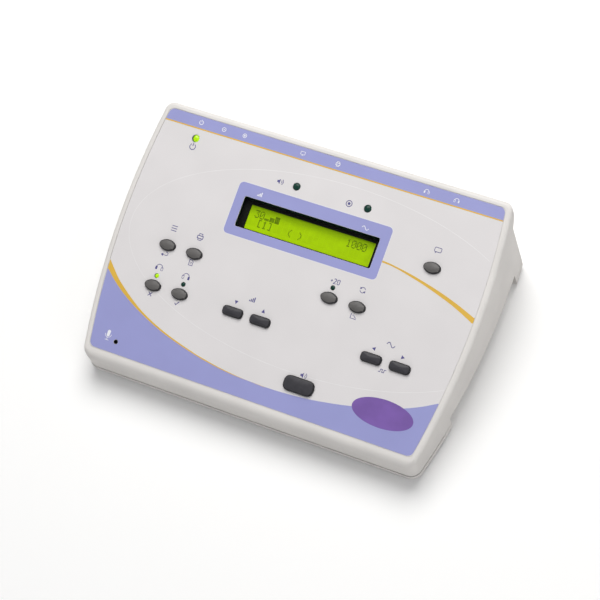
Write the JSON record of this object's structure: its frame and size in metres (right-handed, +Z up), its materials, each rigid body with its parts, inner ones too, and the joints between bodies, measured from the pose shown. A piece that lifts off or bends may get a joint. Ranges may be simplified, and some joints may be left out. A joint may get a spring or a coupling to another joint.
{
  "type": "audiometer",
  "caption": "Wedge-shaped desk audiometer with a bowed two-part case, a printed sloping control panel, a character display, press keys, lamps and a rear connector panel with a rocker switch.",
  "frame": {"origin": "on the table under the middle of the case's outer size", "axes": "+X to the user's right, +Y to the rear, +Z up; the control panel slopes up from front to rear"},
  "size_m": [0.26, 0.173, 0.0693],
  "materials": {
    "case": "fine-textured moulded off-white plastic",
    "overlay": "printed polyester sheet, satin",
    "clear_window": "clear polished acrylic",
    "display_glass": "lit yellow-green character glass",
    "black_metal": "black painted steel",
    "grey_key": "grey satin silicone-coated plastic",
    "dark_key": "dark grey satin plastic",
    "lit_lamp": "diffused yellow-green lamp, lit",
    "dark_lamp": "diffused green lamp, unlit",
    "circuit_board": "green solder resist",
    "white_plastic": "white plastic",
    "black_plastic": "black moulded plastic",
    "rocker_plastic": "black glossy plastic",
    "panel_plastic": "off-white plastic sheet",
    "ribbon": "grey ribbon insulation",
    "rubber": "soft black rubber",
    "steel": "zinc-plated steel",
    "brass": "knurled brass",
    "nickel": "nickel plate"
  },
  "bodies": {
    "case": {"top_housing": "case", "base_housing": "case", "control_overlay": "overlay", "display_window": "clear_window", "display_glass": "display_glass", "display_frame": "black_metal", "display_board": "circuit_board", "display_backlight": "white_plastic", "display_spacers": "white_plastic", "display_screws": "steel", "microphone": "black_plastic", "microphone_boot": "rubber", "control_board": "circuit_board", "control_board_chips": "black_plastic", "control_board_screws": "steel", "key_switches": "black_plastic", "connector_panel": "panel_plastic", "power_switch_body": "black_plastic", "power_socket": "black_plastic", "usb_socket": "nickel", "printer_socket": "black_plastic", "response_jack": "black_plastic", "left_earphone_jack": "black_plastic", "right_earphone_jack": "black_plastic", "jack_nuts": "nickel", "connector_board": "circuit_board", "connector_board_parts": "black_plastic", "connector_board_screws": "steel", "board_ribbon": "ribbon", "housing_screws": "steel", "threaded_inserts": "brass", "rubber_feet": "rubber", "lamp_power": "lit_lamp", "lamp_left": "lit_lamp", "lamp_present": "dark_lamp", "lamp_response": "dark_lamp", "lamp_right": "dark_lamp", "lamp_boost": "dark_lamp"},
    "key_menu": {"key_menu": "grey_key"},
    "key_print": {"key_print": "grey_key"},
    "key_left": {"key_left": "grey_key"},
    "key_right": {"key_right": "grey_key"},
    "key_boost": {"key_boost": "grey_key"},
    "key_auto": {"key_auto": "grey_key"},
    "key_talk": {"key_talk": "grey_key"},
    "key_level_down": {"key_level_down": "dark_key"},
    "key_level_up": {"key_level_up": "dark_key"},
    "key_tone_down": {"key_tone_down": "dark_key"},
    "key_tone_up": {"key_tone_up": "dark_key"},
    "key_present": {"key_present": "dark_key"},
    "power_rocker": {"power_rocker": "rocker_plastic"}
  },
  "joints": [
    {"name": "key_menu_press", "type": "slide", "parent": "case", "child": "key_menu", "axis": [0, -0.257, 0.9664], "range_m": [-0.0009, 0], "stiffness_N_per_m": 1200},
    {"name": "key_print_press", "type": "slide", "parent": "case", "child": "key_print", "axis": [0, -0.257, 0.9664], "range_m": [-0.0009, 0], "stiffness_N_per_m": 1200},
    {"name": "key_left_press", "type": "slide", "parent": "case", "child": "key_left", "axis": [0, -0.257, 0.9664], "range_m": [-0.0009, 0], "stiffness_N_per_m": 1200},
    {"name": "key_right_press", "type": "slide", "parent": "case", "child": "key_right", "axis": [0, -0.257, 0.9664], "range_m": [-0.0009, 0], "stiffness_N_per_m": 1200},
    {"name": "key_boost_press", "type": "slide", "parent": "case", "child": "key_boost", "axis": [0, -0.257, 0.9664], "range_m": [-0.0009, 0], "stiffness_N_per_m": 1200},
    {"name": "key_auto_press", "type": "slide", "parent": "case", "child": "key_auto", "axis": [0, -0.257, 0.9664], "range_m": [-0.0009, 0], "stiffness_N_per_m": 1200},
    {"name": "key_talk_press", "type": "slide", "parent": "case", "child": "key_talk", "axis": [0, -0.257, 0.9664], "range_m": [-0.0009, 0], "stiffness_N_per_m": 1200},
    {"name": "key_level_down_press", "type": "slide", "parent": "case", "child": "key_level_down", "axis": [0, -0.257, 0.9664], "range_m": [-0.0009, 0], "stiffness_N_per_m": 1200},
    {"name": "key_level_up_press", "type": "slide", "parent": "case", "child": "key_level_up", "axis": [0, -0.257, 0.9664], "range_m": [-0.0009, 0], "stiffness_N_per_m": 1200},
    {"name": "key_tone_down_press", "type": "slide", "parent": "case", "child": "key_tone_down", "axis": [0, -0.257, 0.9664], "range_m": [-0.0009, 0], "stiffness_N_per_m": 1200},
    {"name": "key_tone_up_press", "type": "slide", "parent": "case", "child": "key_tone_up", "axis": [0, -0.257, 0.9664], "range_m": [-0.0009, 0], "stiffness_N_per_m": 1200},
    {"name": "key_present_press", "type": "slide", "parent": "case", "child": "key_present", "axis": [0, -0.257, 0.9664], "range_m": [-0.0009, 0], "stiffness_N_per_m": 1200},
    {"name": "power_rocker_tilt", "type": "hinge", "parent": "case", "child": "power_rocker", "pos_m": [-0.096, 0.073, 0.0265], "axis": [1, 0, 0], "range_deg": [0, 20]}
  ]
}
